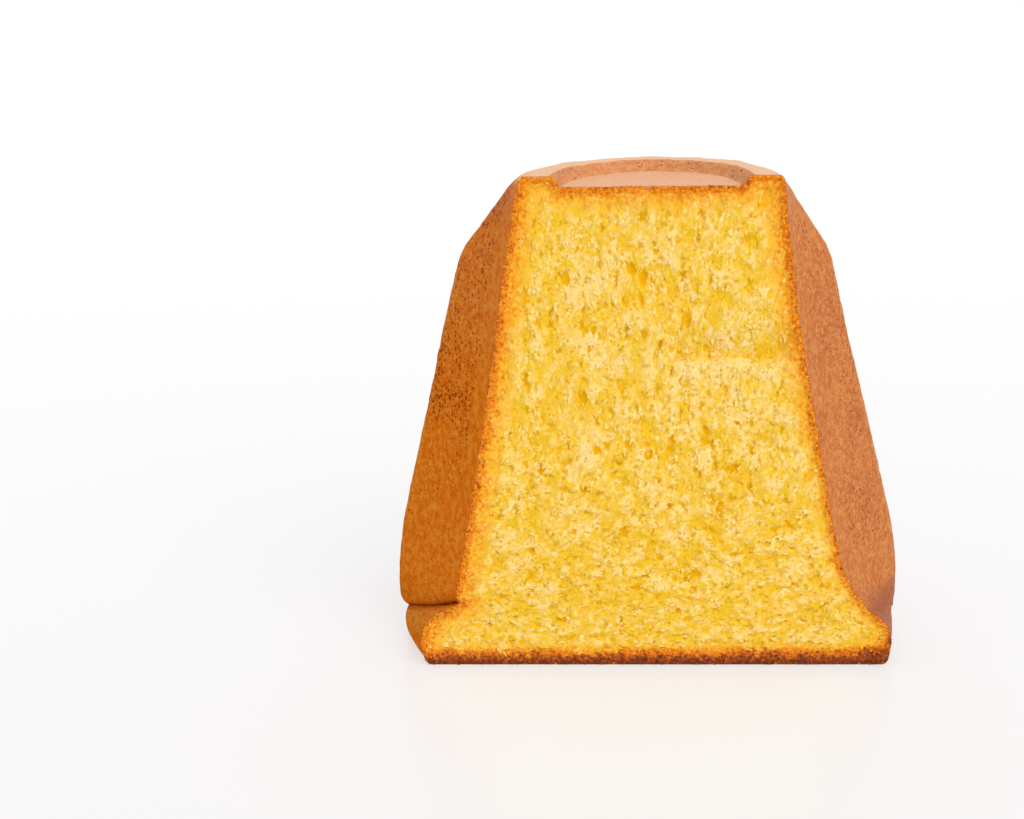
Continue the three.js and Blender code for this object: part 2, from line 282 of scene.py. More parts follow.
def cell_noise(points, size, seed):
    """Distance to the nearest cell middle, in cell sizes, and two draws for that cell."""
    scaled = points / size
    home = np.floor(scaled).astype(np.int64)
    nearest = np.full(points.shape[:-1], 9.0)
    size_draw = np.zeros(points.shape[:-1])
    kind_draw = size_draw.copy()
    for step in np.ndindex(*(3,) * points.shape[-1]):
        cell = home + np.array(step) - 1
        jitter = np.stack([draw_for(cell, seed + axis) for axis in range(points.shape[-1])], axis=-1)
        away = np.linalg.norm(scaled - cell - 0.1 - 0.8 * jitter, axis=-1)
        closer = away < nearest
        size_draw = np.where(closer, draw_for(cell, seed + 5), size_draw)
        kind_draw = np.where(closer, draw_for(cell, seed + 6), kind_draw)
        nearest = np.where(closer, away, nearest)
    return nearest, size_draw, kind_draw


sample_line = np.linspace((0, 0), (10 * MM, 0), 6)
print("soft noise at every 2 mm of a line:", np.round(soft_noise(sample_line, 4 * MM, 1), 2))

# %% [markdown]
# ## Turning point grids into pieces
#
# Every piece is a closed surface made of a few grids of points. The grids are welded where they meet, which
# is simpler than counting shared vertices, and each piece then gets smooth or flat shading, its values for
# the shaders, its finish and its place in the construction model.

# %% From grids to a closed mesh
WELD = 1e-6


def grid_triangles(columns, rows, start=0):
    """Two triangles for each square of a grid whose points are numbered column by column."""
    index = start + np.arange(columns * rows).reshape(columns, rows)
    a, b, c, d = index[:-1, :-1], index[1:, :-1], index[1:, 1:], index[:-1, 1:]
    return np.concatenate([np.stack([a, b, c], -1).reshape(-1, 3), np.stack([a, c, d], -1).reshape(-1, 3)])


def zip_rows(points, first, second):
    """Triangles between two rows of points, given by their numbers, that run side by side."""
    walked = []
    for row in (first, second):
        steps = np.linalg.norm(np.diff(points[row], axis=0), axis=1)
        walked.append(np.concatenate([[0], np.cumsum(steps)]) / max(steps.sum(), WELD))
    i = j = 0
    triangles = []
    while i < len(first) - 1 or j < len(second) - 1:
        first_next = walked[0][i + 1] if i < len(first) - 1 else 2
        second_next = walked[1][j + 1] if j < len(second) - 1 else 2
        if first_next <= second_next:
            triangles.append((first[i], first[i + 1], second[j]))
            i += 1
        else:
            triangles.append((first[i], second[j + 1], second[j]))
            j += 1
    return np.array(triangles)


def make_piece(name, points, triangles, values, finish, slot, smooth=True):
    """Welds the points, drops the triangles that closed up, and adds the rest to the scene as one piece."""
    keys = np.round(points / WELD).astype(np.int64)
    _, kept, welded = np.unique(keys, axis=0, return_index=True, return_inverse=True)
    triangles = welded.reshape(-1)[triangles]
    triangles = triangles[(triangles != np.roll(triangles, 1, axis=1)).all(axis=1)]
    mesh = bpy.data.meshes.new(name)
    mesh.from_pydata(points[kept], [], triangles)
    for title, numbers in values.items():
        attribute = mesh.attributes.new(title, "FLOAT", "POINT")
        attribute.data.foreach_set("value", numbers[kept].astype(np.float32))
    mesh.polygons.foreach_set("use_smooth", np.full(len(triangles), smooth))
    mesh.materials.append(finish)
    mesh.update()
    piece = bpy.data.objects.new(name, mesh)
    bpy.context.scene.collection.objects.link(piece)
    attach(piece, "root")
    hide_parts(NODE)
    sides = np.sort(np.concatenate([triangles[:, pair] for pair in ([0, 1], [1, 2], [2, 0])]), axis=1)
    open_sides = (np.unique(sides, axis=0, return_counts=True)[1] != 2).sum()
    print(f"{name}: {len(triangles)} triangles, {open_sides} open sides")


# %% [markdown]
# ## Finishes
#
# Bread has two finishes that matter: crumb, bright and a little translucent, with a pale painted highlight on
# its raised bits and deep yellow painted shade in its pores, and crust, a matte brown skin full of pinholes.
# Between them the colour runs through orange. A painted picture would be quicker, but it would fit one side
# of one cake only. Here all of it is made of noise and of values stored on the meshes, such as how deep a
# point lies or how browned it is, so it stays in place from any side.

# %% Node helpers
def new_finish(name):
    finish = bpy.data.materials.new(name)
    finish.use_nodes = True
    tree = finish.node_tree
    shader = tree.nodes["Principled BSDF"]
    return finish, tree, shader


def fill(node, **sockets):
    """Each socket, named by its identifier, is given a value or the output of another node."""
    for key, value in sockets.items():
        socket = next(one for one in node.inputs if one.identifier in (key, key.replace("_", " ")))
        if isinstance(value, bpy.types.NodeSocket):
            node.id_data.links.new(value, socket)
        else:
            socket.default_value = value


def wire(tree, kind, settings, **sockets):
    node = tree.nodes.new(kind)
    for key, value in settings.items():
        setattr(node, key, value)
    fill(node, **sockets)
    return node


def colour(red, green, blue):
    """A screen colour, 0 to 255, as the linear colour that shaders work with."""
    screen = np.array([red, green, blue]) / 255
    linear = np.where(screen <= 0.04045, screen / 12.92, ((screen + 0.055) / 1.055) ** 2.4)
    return (*linear, 1.0)


def stored(tree, name):
    return wire(tree, "ShaderNodeAttribute", {"attribute_name": name}).outputs["Fac"]


def place(tree):
    return wire(tree, "ShaderNodeTexCoord", {}).outputs["Object"]


def noise_node(tree, per_metre, detail, roughness=0.55):
    sockets = {"Vector": place(tree), "Scale": per_metre, "Detail": detail, "Roughness": roughness}
    return wire(tree, "ShaderNodeTexNoise", {}, **sockets).outputs["Fac"]


# %% Helpers for sums, blends, holes and bumps
def sums(tree, operation, a, b, clamp=False):
    settings = {"operation": operation, "use_clamp": clamp}
    return wire(tree, "ShaderNodeMath", settings, Value=a, Value_001=b).outputs["Value"]


def plus(tree, a, b):
    return sums(tree, "ADD", a, b)


def minus(tree, a, b, clamp=False):
    return sums(tree, "SUBTRACT", a, b, clamp)


def times(tree, a, b):
    return sums(tree, "MULTIPLY", a, b)


def blend(tree, share, low, high, kind="MIX"):
    """A colour between two others, or with "MULTIPLY" the first one tinted by the second."""
    settings = {"data_type": "RGBA", "blend_type": kind, "clamp_factor": True}
    node = wire(tree, "ShaderNodeMix", settings, Factor_Float=share, A_Color=low, B_Color=high)
    return next(one for one in node.outputs if one.identifier == "Result_Color")


def stretch(tree, value, low, high, to_low=0.0, to_high=1.0):
    """Maps low to high onto to_low to to_high, smoothly, and holds both ends."""
    sockets = {"Value": value, "From Min": low, "From Max": high, "To Min": to_low, "To Max": to_high}
    return wire(tree, "ShaderNodeMapRange", {"interpolation_type": "SMOOTHSTEP"}, **sockets).outputs["Result"]


def small_holes(tree, per_metre, largest):
    """1 inside small scattered holes and 0 elsewhere. The largest is given as a share of their spacing."""
    holes = wire(tree, "ShaderNodeTexVoronoi", {}, Vector=place(tree), Scale=per_metre)
    scatter = wire(tree, "ShaderNodeSeparateColor", {}, Color=holes.outputs["Color"])
    reach = times(tree, scatter.outputs["Red"], largest)
    return stretch(tree, minus(tree, holes.outputs["Distance"], reach), -0.12, 0.04, 1.0, 0.0)


def bumps(tree, height, strength, depth):
    sockets = {"Height": height, "Strength": strength, "Distance": depth}
    return wire(tree, "ShaderNodeBump", {}, **sockets).outputs["Normal"]


# %% How baking changes the crumb's colour
BAKE_STEPS = [
    (0.0, colour(244, 193, 70)),
    (0.2, colour(242, 182, 56)),
    (0.3, colour(238, 171, 46)),
    (0.4, colour(238, 153, 34)),
    (0.5, colour(234, 140, 26)),
    (0.6, colour(231, 130, 28)),
    (0.7, colour(206, 110, 36)),
    (0.8, colour(162, 80, 36)),
    (1.0, colour(112, 52, 30)),
]


def baked_colour(tree, bake):
    ramp = wire(tree, "ShaderNodeValToRGB", {}, Fac=bake)
    steps = ramp.color_ramp.elements
    while len(steps) < len(BAKE_STEPS):
        steps.new(0.5)
    for step, (position, shade) in zip(steps, BAKE_STEPS):
        step.position = position
        step.color = shade
    return ramp.outputs["Color"]


def browned_over(tree, shade, bake, speckle):
    """The crumb's colour, covered by the baked one as far as `bake` says, with a speckled border."""
    uneven = minus(tree, stretch(tree, bake, 0.0, 0.4, 0.05, 1.1), stretch(tree, bake, 0.6, 0.8, 0.0, 0.4))
    browned = plus(tree, bake, times(tree, speckle, uneven))
    golden = stretch(tree, browned, 0.0, 0.2, 0.0, 0.8)
    covered = plus(tree, golden, stretch(tree, browned, 0.2, 0.6, 0.0, 0.2))
    return blend(tree, covered, shade, baked_colour(tree, browned))


print("from golden to dark crust in", len(BAKE_STEPS), "steps")

# %% Crumb finish
# The low, pore and deep colours are painted shade, darker and deeper yellow where the crumb lies low or open,
# and the peak colour is a painted highlight on raised bits. Body, dot and tint are the crumb's own.
CRUMB_DEEP_SHADE = colour(238, 160, 6)
CRUMB_PORE_SHADE = colour(234, 180, 12)
CRUMB_DOT = colour(222, 172, 14)
CRUMB_LOW_SHADE = colour(239, 191, 44)
CRUMB_BODY = colour(243, 201, 90)
CRUMB_PEAK_HIGHLIGHT = colour(248, 214, 140)
CRUMB_TINT = (0.98, 1.0, 0.88, 1.0)
SPECKLES_PER_METRE = 620.0
TINTS_PER_METRE = 450.0
CROWDS_PER_METRE = 120.0
DOTS_PER_METRE = 640.0
FIBRES_PER_METRE = 1600.0
CRUMB_ROUGHNESS = 0.9
CRUMB_GLOSS = 0.06
CRUMB_GLOW = 0.3
GLOW_BY_COLOUR = (1.0, 0.55, 0.12)
GLOW_DEPTH = 1.4 * MM
FIBRE_STRENGTH = 0.25
FIBRE_DEPTH = 0.25 * MM


def crumb_finish(name, glow_within):
    finish, tree, shader = new_finish(name)
    pore = stored(tree, "pore")
    bake = stored(tree, "bake")
    speckle = minus(tree, noise_node(tree, SPECKLES_PER_METRE, 2.0), 0.5)
    # Painted highlight and shade: paler where the stored relief stands out, darker where it lies low, with
    # speckle for the crumb's own uneven tone.
    level = plus(tree, stored(tree, "lift"), times(tree, speckle, 2.2))
    shade = blend(tree, stretch(tree, level, -1.0, 0.1), CRUMB_LOW_SHADE, CRUMB_BODY)
    shade = blend(tree, stretch(tree, level, -0.1, 1.1), shade, CRUMB_PEAK_HIGHLIGHT)
    # Painted shade: deeper yellow in the pores.
    deep_shade = minus(tree, pore, times(tree, speckle, 1.4))
    shade = blend(tree, stretch(tree, deep_shade, 0.1, 0.9), shade, CRUMB_PORE_SHADE)
    shade = blend(tree, stretch(tree, deep_shade, 0.8, 1.5), shade, CRUMB_DEEP_SHADE)
    tinted = stretch(tree, noise_node(tree, TINTS_PER_METRE, 2.0), 0.42, 0.6)
    shade = blend(tree, tinted, shade, CRUMB_TINT, "MULTIPLY")
    crowd = stretch(tree, noise_node(tree, CROWDS_PER_METRE, 2.0), 0.35, 0.65, 0.3, 0.6)
    dotted = small_holes(tree, DOTS_PER_METRE, crowd)
    shade = blend(tree, times(tree, dotted, 0.8), shade, CRUMB_DOT)
    shade = browned_over(tree, shade, bake, speckle)
    fibres = plus(tree, speckle, noise_node(tree, FIBRES_PER_METRE, 2.0))
    fibres = minus(tree, fibres, times(tree, dotted, 0.7))
    fill(shader, Base_Color=shade, Normal=bumps(tree, fibres, FIBRE_STRENGTH, FIBRE_DEPTH))
    fill(shader, Roughness=CRUMB_ROUGHNESS, Specular_IOR_Level=CRUMB_GLOSS)
    fill(shader, Subsurface_Weight=glow_within, Subsurface_Radius=GLOW_BY_COLOUR, Subsurface_Scale=GLOW_DEPTH)
    return finish


crumb_look = crumb_finish("crumb", CRUMB_GLOW)
shred_look = crumb_finish("crumb_shreds", 0.0)
edge_look = crumb_finish("browned_edge", CRUMB_GLOW)
edge_grain_look = crumb_finish("browned_grains", 0.0)
print("crumb finishes with", len(crumb_look.node_tree.nodes), "nodes each")

# %% [markdown]
# The skin could be one plain brown, but it is never even: it is paler along the ridges and darker at the
# foot. Over that comes painted light: a paler sheen on the top, a highlight on the lip and shade in the
# crease at the left end of the cut, and orange bounce light down the left side. Then come a mottle, a fine
# grain, and pinholes in two sizes that crowd together in places.

# %% Crust finish
SKIN_DARK = colour(178, 92, 34)
SKIN_BODY = colour(192, 107, 39)
SKIN_PALE = colour(214, 142, 78)
SKIN_BRIGHT = colour(215, 150, 84)
SKIN_BOUNCE_ORANGE = colour(206, 106, 10)
SKIN_FOOT = colour(148, 70, 28)
SKIN_TOP_SHEEN = colour(242, 194, 158)
CREASE_SHADE = colour(176, 88, 22)
PINHOLE = colour(142, 52, 6)
GRAIN_TINT = (1.0, 0.97, 0.8, 1.0)
BOUNCE_TINT = (1.0, 0.95, 0.5, 1.0)
PATCHES_PER_METRE = 45.0
MOTTLES_PER_METRE = 380.0
SKIN_GRAINS_PER_METRE = 1400.0
GRAIN_TINTS_PER_METRE = 900.0
HOLE_CROWDS_PER_METRE = 60.0
WIDE_HOLES_PER_METRE = 640.0
FINE_HOLES_PER_METRE = 1000.0
SKIN_ROUGHNESS = 0.55
SKIN_GLOSS = 0.24
TOP_GLOSS = 0.5
SKIN_BUMP_STRENGTH = 0.45
SKIN_BUMP_DEPTH = 0.3 * MM


def skin_shade(tree, patches, bounce_side, top_sheen):
    """The broad colours of the skin, from patch to patch and place to place, with its painted light among
    them.
    """
    mottle = noise_node(tree, MOTTLES_PER_METRE, 4.0, 0.65)
    shade = blend(tree, stretch(tree, patches, 0.28, 0.6), SKIN_DARK, SKIN_BODY)
    # Painted bounce light: the left side is more orange.
    shade = blend(tree, times(tree, bounce_side, 0.9), shade, SKIN_BOUNCE_ORANGE)
    shade = blend(tree, stretch(tree, mottle, 0.4, 0.7, 0.0, 0.8), shade, SKIN_PALE)
    shade = blend(tree, stretch(tree, mottle, 0.5, 0.3, 0.0, 0.6), shade, SKIN_DARK)
    # Paler along the ridges, and a painted highlight on the lip below the left crease.
    shade = blend(tree, times(tree, stored(tree, "ridge"), stretch(tree, mottle, 0.3, 0.6)), shade, SKIN_PALE)
    shade = blend(tree, times(tree, stored(tree, "low"), 0.85), shade, SKIN_FOOT)
    # Painted sheen: the top is paler.
    shade = blend(tree, top_sheen, shade, SKIN_TOP_SHEEN)
    # Painted shade in the left crease.
    return blend(tree, times(tree, stored(tree, "crease"), 0.9), shade, CREASE_SHADE)


def grained(tree, shade, grain, bounce_side, top_sheen):
    """Grain over the skin's colour, plainer on the left side and the top, and the left side's painted bounce
    tint.
    """
    plain = minus(tree, 1.0, times(tree, bounce_side, 0.5))
    shade = blend(tree, times(tree, stretch(tree, grain, 0.5, 0.7, 0.0, 0.66), plain), shade, SKIN_BRIGHT)
    dark = times(tree, stretch(tree, grain, 0.5, 0.3, 0.0, 0.5), minus(tree, plain, top_sheen, True))
    shade = blend(tree, dark, shade, PINHOLE)
    tinted = stretch(tree, noise_node(tree, GRAIN_TINTS_PER_METRE, 2.0), 0.4, 0.6)
    shade = blend(tree, tinted, shade, GRAIN_TINT, "MULTIPLY")
    # Painted bounce light: less blue on the left side, below the top.
    return blend(tree, minus(tree, bounce_side, top_sheen, True), shade, BOUNCE_TINT, "MULTIPLY")


def pinholes(tree, patches, bounce_side, top_sheen):
    """Wide and fine pinholes. They crowd on the left side, and are rare on the top and on smooth skin."""
    crowd = stretch(tree, noise_node(tree, HOLE_CROWDS_PER_METRE, 2.0), 0.38, 0.64, 0.65, 1.35)
    crowd = plus(tree, crowd, times(tree, bounce_side, stretch(tree, patches, 0.3, 0.55, 0.5, 0.8)))
    crowd = times(tree, crowd, minus(tree, 1.0, times(tree, top_sheen, 0.7)))
    crowd = times(tree, crowd, minus(tree, 1.0, times(tree, stored(tree, "smooth"), 0.85)))
    wide = small_holes(tree, WIDE_HOLES_PER_METRE, times(tree, crowd, 0.35))
    fine = small_holes(tree, FINE_HOLES_PER_METRE, plus(tree, times(tree, crowd, 0.3), 0.1))
    return wide, fine


def crust_finish(name):
    finish, tree, shader = new_finish(name)
    bounce_side = stored(tree, "bounce_side")
    top_sheen = stored(tree, "top_sheen")
    patches = noise_node(tree, PATCHES_PER_METRE, 4.0, 0.6)
    shade = skin_shade(tree, patches, bounce_side, top_sheen)
    grain = noise_node(tree, SKIN_GRAINS_PER_METRE, 3.0, 0.75)
    shade = grained(tree, shade, grain, bounce_side, top_sheen)
    wide, fine = pinholes(tree, patches, bounce_side, top_sheen)
    shade = blend(tree, times(tree, fine, 0.55), shade, PINHOLE)
    shade = blend(tree, times(tree, wide, 0.85), shade, PINHOLE)
    # The left side, with its painted bounce light, gets less gloss, and the top gets more.
    gloss = times(tree, minus(tree, 1.0, bounce_side), SKIN_GLOSS)
    gloss = plus(tree, gloss, times(tree, top_sheen, TOP_GLOSS))
    opened = plus(tree, wide, times(tree, fine, 0.5))
    height = minus(tree, times(tree, grain, 0.7), opened)
    fill(shader, Base_Color=shade, Normal=bumps(tree, height, SKIN_BUMP_STRENGTH, SKIN_BUMP_DEPTH))
    fill(shader, Roughness=SKIN_ROUGHNESS, Specular_IOR_Level=gloss)
    return finish


crust_look = crust_finish("crust")
print("crust finish with", len(crust_look.node_tree.nodes), "nodes")

# %% [markdown]
# ## The crust
#
# A pandoro's crust is a skin a millimetre or so thick that takes every form of the mould. It is made as a
# shell: a fine outer grid that runs from the middle of the base, out under the collar, up the lobes, over
# the rounded rim and down into the recess, and a coarse inner grid just behind it. The grid could be even,
# but the two faces beside the cut are seen from close by, so they get more columns.

# %% Rows and columns of the skin
RIM_ROUNDING_IN_VALLEY = 3.2 * MM
RIM_ROUNDING_ON_RIDGE = 8 * MM
RECESS_RADIUS = 39.5 * MM
RECESS_WALL = 4.9 * MM
RECESS_DEPTH = 4.2 * MM
NEAR_COLUMNS = 62
FAR_COLUMNS = 36
BASE_ROWS = 8
COLLAR_ROWS = 34
FLANK_ROWS = 136
TIP_ROWS = 34
RIM_ROWS = 9
FLAT_RINGS = 14
WALL_RINGS = 9
FLOOR_RINGS = 14
SKIN_ROWS = (BASE_ROWS, COLLAR_ROWS, FLANK_ROWS, TIP_ROWS, RIM_ROWS, FLAT_RINGS, WALL_RINGS, FLOOR_RINGS)
STRETCHES_BELOW_TOP = 5


def column_angles(near, far):
    faces = [near] + [far] * (2 * LOBES - 2) + [near]
    steps = [FACE_ANGLE * (face + np.arange(count) / count) for face, count in enumerate(faces)]
    return np.concatenate([*steps, [np.pi]])


def skin_profile(angles, rows):
    """Radius and height of every row, for each angle, from the middle of the base to that of the top."""
    angle = angles[:, None]
    base, collar, flank, tip, rim, flat, wall, floor = (np.arange(count)[None, :] / count for count in rows)
    level = 0 * angle
    parts = [(collar_radius(angle, 0) * base, level * base)]
    rise = (1 - np.cos(np.pi * collar)) / 2
    parts.append((collar_radius(angle, rise), crease_height(angle) * rise))
    height = mix(crease_height(angle), SHOULDER_HEIGHT, flank)
    parts.append((flank_radius(angle, height), height))
    rounding = mix(RIM_ROUNDING_IN_VALLEY, RIM_ROUNDING_ON_RIDGE, ridgeness(angle, HEIGHT))
    rim_start = HEIGHT - rounding
    height = mix(SHOULDER_HEIGHT, rim_start, tip)
    parts.append((star_radius(angle, height), height))
    below, corner = star_radius(angle, rim_start), star_radius(angle, HEIGHT)
    rim_inside = corner - rounding
    radius = below * (1 - rim) ** 2 + corner * 2 * rim * (1 - rim) + rim_inside * rim**2
    parts.append((radius, rim_start * (1 - rim) ** 2 + HEIGHT * (2 * rim * (1 - rim) + rim**2)))
    parts.append((mix(rim_inside, RECESS_RADIUS, flat), HEIGHT + level * flat))
    fall = RECESS_DEPTH * ease(wall, 0, 1)
    parts.append((RECESS_RADIUS - RECESS_WALL * wall + level, HEIGHT - fall + level))
    floor_height = HEIGHT - RECESS_DEPTH
    parts.append(((RECESS_RADIUS - RECESS_WALL) * (1 - floor) + level, floor_height + level * floor))
    parts.append((level, floor_height + level))
    return [np.concatenate([part[which] for part in parts], axis=1) for which in (0, 1)]


def round_axis(angles, radius, height):
    angle = angles[:, None]
    return np.stack([radius * np.cos(angle), radius * np.sin(angle), height], axis=-1)


skin_angles = column_angles(NEAR_COLUMNS, FAR_COLUMNS)
skin_radius, skin_height = skin_profile(skin_angles, SKIN_ROWS)
skin = round_axis(skin_angles, skin_radius, skin_height)
skin[..., 1] = np.maximum(skin[..., 1], 0)
print("skin grid:", skin.shape[:2])

# %% [markdown]
# The baked half leans a little below its top, and the top is not quite level. The same small lean goes onto
# every piece, and the cake is then moved so that its box lies where the construction model's box is.

# %% Lean, and fit to the construction model
LEAN = -2 * MM
LEAN_SETTLES = 8
TOP_TILT = 0.01


def lean(points):
    """Points round the cake's own axis, leaned as the baked half leans."""
    rise = points[..., 2] / HEIGHT
    leaned = points.copy()
    leaned[..., 0] += LEAN * rise * (1 - rise**LEAN_SETTLES)
    leaned[..., 2] += TOP_TILT * points[..., 0] * rise**4
    return leaned


leaned_skin = lean(skin)
AXIS_X = (cad_low.x + cad_high.x) / 2 - (leaned_skin[..., 0].min() + leaned_skin[..., 0].max()) / 2
CUT_Y = cad_high.y - leaned_skin[..., 1].max()


def in_place(points):
    """The same points where the construction model has them."""
    return lean(points) + np.array([AXIS_X, CUT_Y, 0])


print("axis at x", round(AXIS_X / MM, 2), "mm, cut plane at y", round(CUT_Y / MM, 2), "mm")

# %% [markdown]
# The baked skin swells and wrinkles a little. A displace modifier could move it, but then the cut outline,
# which has to follow the skin, wouldn't know where it went. So the grid's own points are moved, and both
# ends stay in the plane of the cut.

# %% Swells and wrinkles of the skin
SWELL, SWELL_SIZE = 0.45 * MM, 46 * MM
WRINKLE, WRINKLE_SIZE, WRINKLE_STRETCH = 0.16 * MM, 9 * MM, 2.6
LUMPS, LUMP_SIZE = 0.14 * MM, 3.2 * MM
WALL_LUMPS, WALL_LUMP_SIZE = 0.5 * MM, 3.5 * MM
EVEN_FOOT = 3 * MM


def outward(grid, rows):
    """Unit normals of a grid of the skin, straight up on its top and straight down on its base."""
    along = np.gradient(grid, axis=1)
    around = np.gradient(grid, axis=0)
    normal = np.cross(around, along)
    normal = normal / np.maximum(np.linalg.norm(normal, axis=-1, keepdims=True), 1e-12)
    normal[:, sum(rows[:STRETCHES_BELOW_TOP]) :] = (0, 0, 1)
    normal[:, : rows[0]] = (0, 0, -1)
    return normal


def behind_cut(grid):
    """The grid with its first and last columns in the plane of the cut and nothing in front of it."""
    grid[[0, -1], :, 1] = 0
    grid[..., 1] = np.maximum(grid[..., 1], 0)
    return grid


first_top_row = sum(SKIN_ROWS[:STRETCHES_BELOW_TOP])
wall_rows = slice(first_top_row + FLAT_RINGS, first_top_row + FLAT_RINGS + WALL_RINGS)
skin_relief = SWELL * layered_noise(skin, SWELL_SIZE, 20, 2)
flattened = skin * np.array([1, 1, WRINKLE_STRETCH])
wrinkles = WRINKLE * soft_noise(flattened, WRINKLE_SIZE, 31)
skin_relief += wrinkles + LUMPS * layered_noise(skin, LUMP_SIZE, 33, 2)
skin_relief[:, wall_rows] += WALL_LUMPS * layered_noise(skin[:, wall_rows], WALL_LUMP_SIZE, 37, 2)
skin_relief[:, :BASE_ROWS] = 0
skin_relief *= ease(skin_height, 0, EVEN_FOOT)
skin_moved = behind_cut(skin + outward(skin, SKIN_ROWS) * skin_relief[..., None])
print(f"relief of the skin from {skin_relief.min() / MM:.2f} to {skin_relief.max() / MM:.2f} mm")

# %% The crust shell
SKIN_THICKNESS = 1.2 * MM
COARSE_ROWS = (2, 12, 22, 7, 2, 2, 3, 3)


def shell_inside(angles, rows, thickness):
    grid = round_axis(angles, *skin_profile(angles, rows))
    return behind_cut(grid - outward(grid, rows) * thickness)


coarse_angles = column_angles(6, 5)
inside = shell_inside(coarse_angles, COARSE_ROWS, SKIN_THICKNESS)
outer_count = skin_moved[..., 0].size
inner_count = inside[..., 0].size
crust_points = np.concatenate([skin_moved.reshape(-1, 3), inside.reshape(-1, 3)])
outer_index = np.arange(outer_count).reshape(skin_moved.shape[:2])
inner_index = outer_count + np.arange(inner_count).reshape(inside.shape[:2])
crust_triangles = np.concatenate(
    [
        grid_triangles(*skin_moved.shape[:2]),
        grid_triangles(*inside.shape[:2], outer_count)[:, ::-1],
        zip_rows(crust_points, inner_index[0], outer_index[0]),
        zip_rows(crust_points, outer_index[-1], inner_index[-1]),
    ]
)
print("shell of", outer_count, "points outside and", inner_count, "inside")

# %% [markdown]
# Baking browned the foot more than the rest, the ridges are paler, and in other places light is painted: a
# highlight on the lip below the left crease, shade in that crease, sheen on the top and orange bounce light
# down the left side. Weights could be painted on the mesh by hand, but they would be lost with the next
# change of the grid. All these places are known from the outline, so each becomes a value from 0 to 1, stored
# on the points for the finish to read.

# %% Where the skin is paler, darker or smoother, and where light is painted on it
# Painted sheen: how much paler the top, the recess wall and the recess floor are. The same values give the
# top more gloss and fewer pinholes.
SHEEN_ON_TOP, SHEEN_ON_WALL, SHEEN_ON_FLOOR = 0.84, 0.2, 0.66
SHEEN_RISES_BETWEEN = (HEIGHT - 6 * MM, HEIGHT - 2 * MM)
RIDGE_LINE = (0.93, 1.0)
RIDGE_LINE_STARTS = (20 * MM, 60 * MM)
FOOT_ENDS = (20 * MM, 31 * MM)
CREASE_SPREAD = (0.5 * MM, 2.4 * MM)
LIP_STARTS, LIP_ENDS = (1.5 * MM, 4 * MM), (9 * MM, 16 * MM)
BOUNCE_FADE, BOUNCE_FADES_BETWEEN = 0.2, (110 * MM, 170 * MM)
SMOOTH_BESIDE_CUT = (5 * MM, 12 * MM)
SMOOTH_ON_LEFT, SMOOTH_BELOW = 0.6, (70 * MM, 115 * MM)


def with_hidden(values):
    """The values of a fine grid in sight, and 0 for the coarse grid hidden behind it."""
    return np.concatenate([values.reshape(-1), np.zeros(inner_count)])


column_angle = skin_angles[:, None]
folded = fold_sharpness(column_angle)
below_crease = crease_height(column_angle) - skin_height
ridge_line = ease(ridgeness(column_angle, skin_height), *RIDGE_LINE) * ease(skin_height, *RIDGE_LINE_STARTS)
ridge_line[:, first_top_row:] = 0
# Painted highlight on the lip below the left crease.
lip_highlight = folded * ease(below_crease, *LIP_STARTS) * (1 - ease(below_crease, *LIP_ENDS))
# Painted shade in the left crease.
crease_shade_mask = folded * (1 - ease(np.abs(below_crease), *CREASE_SPREAD))
low_down = (1 - ease(skin_height, *FOOT_ENDS)) * (1 - 0.8 * folded)
# Painted sheen on the top, weaker on the recess wall.
top_sheen_mask = SHEEN_ON_TOP * ease(skin_height, *SHEEN_RISES_BETWEEN)
top_sheen_mask[:, wall_rows] = SHEEN_ON_WALL
top_sheen_mask[:, wall_rows.stop :] = SHEEN_ON_FLOOR
# Painted bounce light down the left side, fading a little upwards. Pinholes crowd there too.
bounce_side_mask = ease(column_angle, np.pi - LOBE_ANGLE, np.pi - FACE_ANGLE)
bounce_side_mask = bounce_side_mask * (1 - BOUNCE_FADE * ease(skin_height, *BOUNCE_FADES_BETWEEN))
bounce_side_mask[:, first_top_row - 2 :] = 0
near_cut = 1 - ease(skin[..., 1], *SMOOTH_BESIDE_CUT)
smooth_low_left = SMOOTH_ON_LEFT * bounce_side_mask * (1 - ease(skin_height, *SMOOTH_BELOW))
crust_values = {
    # The ridge value also holds the lip's painted highlight.
    "ridge": with_hidden(ridge_line + lip_highlight),
    "low": with_hidden(low_down),
    "top_sheen": with_hidden(top_sheen_mask),
    # The crease value is painted shade.
    "crease": with_hidden(crease_shade_mask),
    "bounce_side": with_hidden(bounce_side_mask),
    "smooth": with_hidden(np.maximum(near_cut, smooth_low_left)),
}
make_piece("crust", in_place(crust_points), crust_triangles, crust_values, crust_look, "crust")

# %% [markdown]
# ## The cut outline
#
# Everything on the cut face is placed by its distance from the skin. That could be worked out anew for each
# piece, but then the pieces would soon disagree, so the outline of the cut is made once: a loop of points in
# the plane of the cut, from the two end columns of the skin.

# %% The loop round the cut
EDGE_SPACING = 0.45 * MM
SKIN_STARTS = 0.5 * MM
HANDFUL = 4000

loop = np.concatenate([skin_moved[0], skin_moved[-1][::-1][1:]])[:, [0, 2]]
steps = np.linalg.norm(np.diff(loop, axis=0), axis=1)
loop = loop[np.concatenate([[True], steps > 1e-9])]
walked = np.concatenate([[0], np.cumsum(np.linalg.norm(np.diff(loop, axis=0), axis=1))])
stops = np.linspace(0, walked[-1], int(walked[-1] / EDGE_SPACING), endpoint=False)
outline = np.stack([np.interp(stops, walked, loop[:, axis]) for axis in (0, 1)], axis=-1)
skin_line = outline[outline[:, 1] > SKIN_STARTS][::2]
print("cut outline:", round(walked[-1] / MM), "mm long,", len(outline), "points")


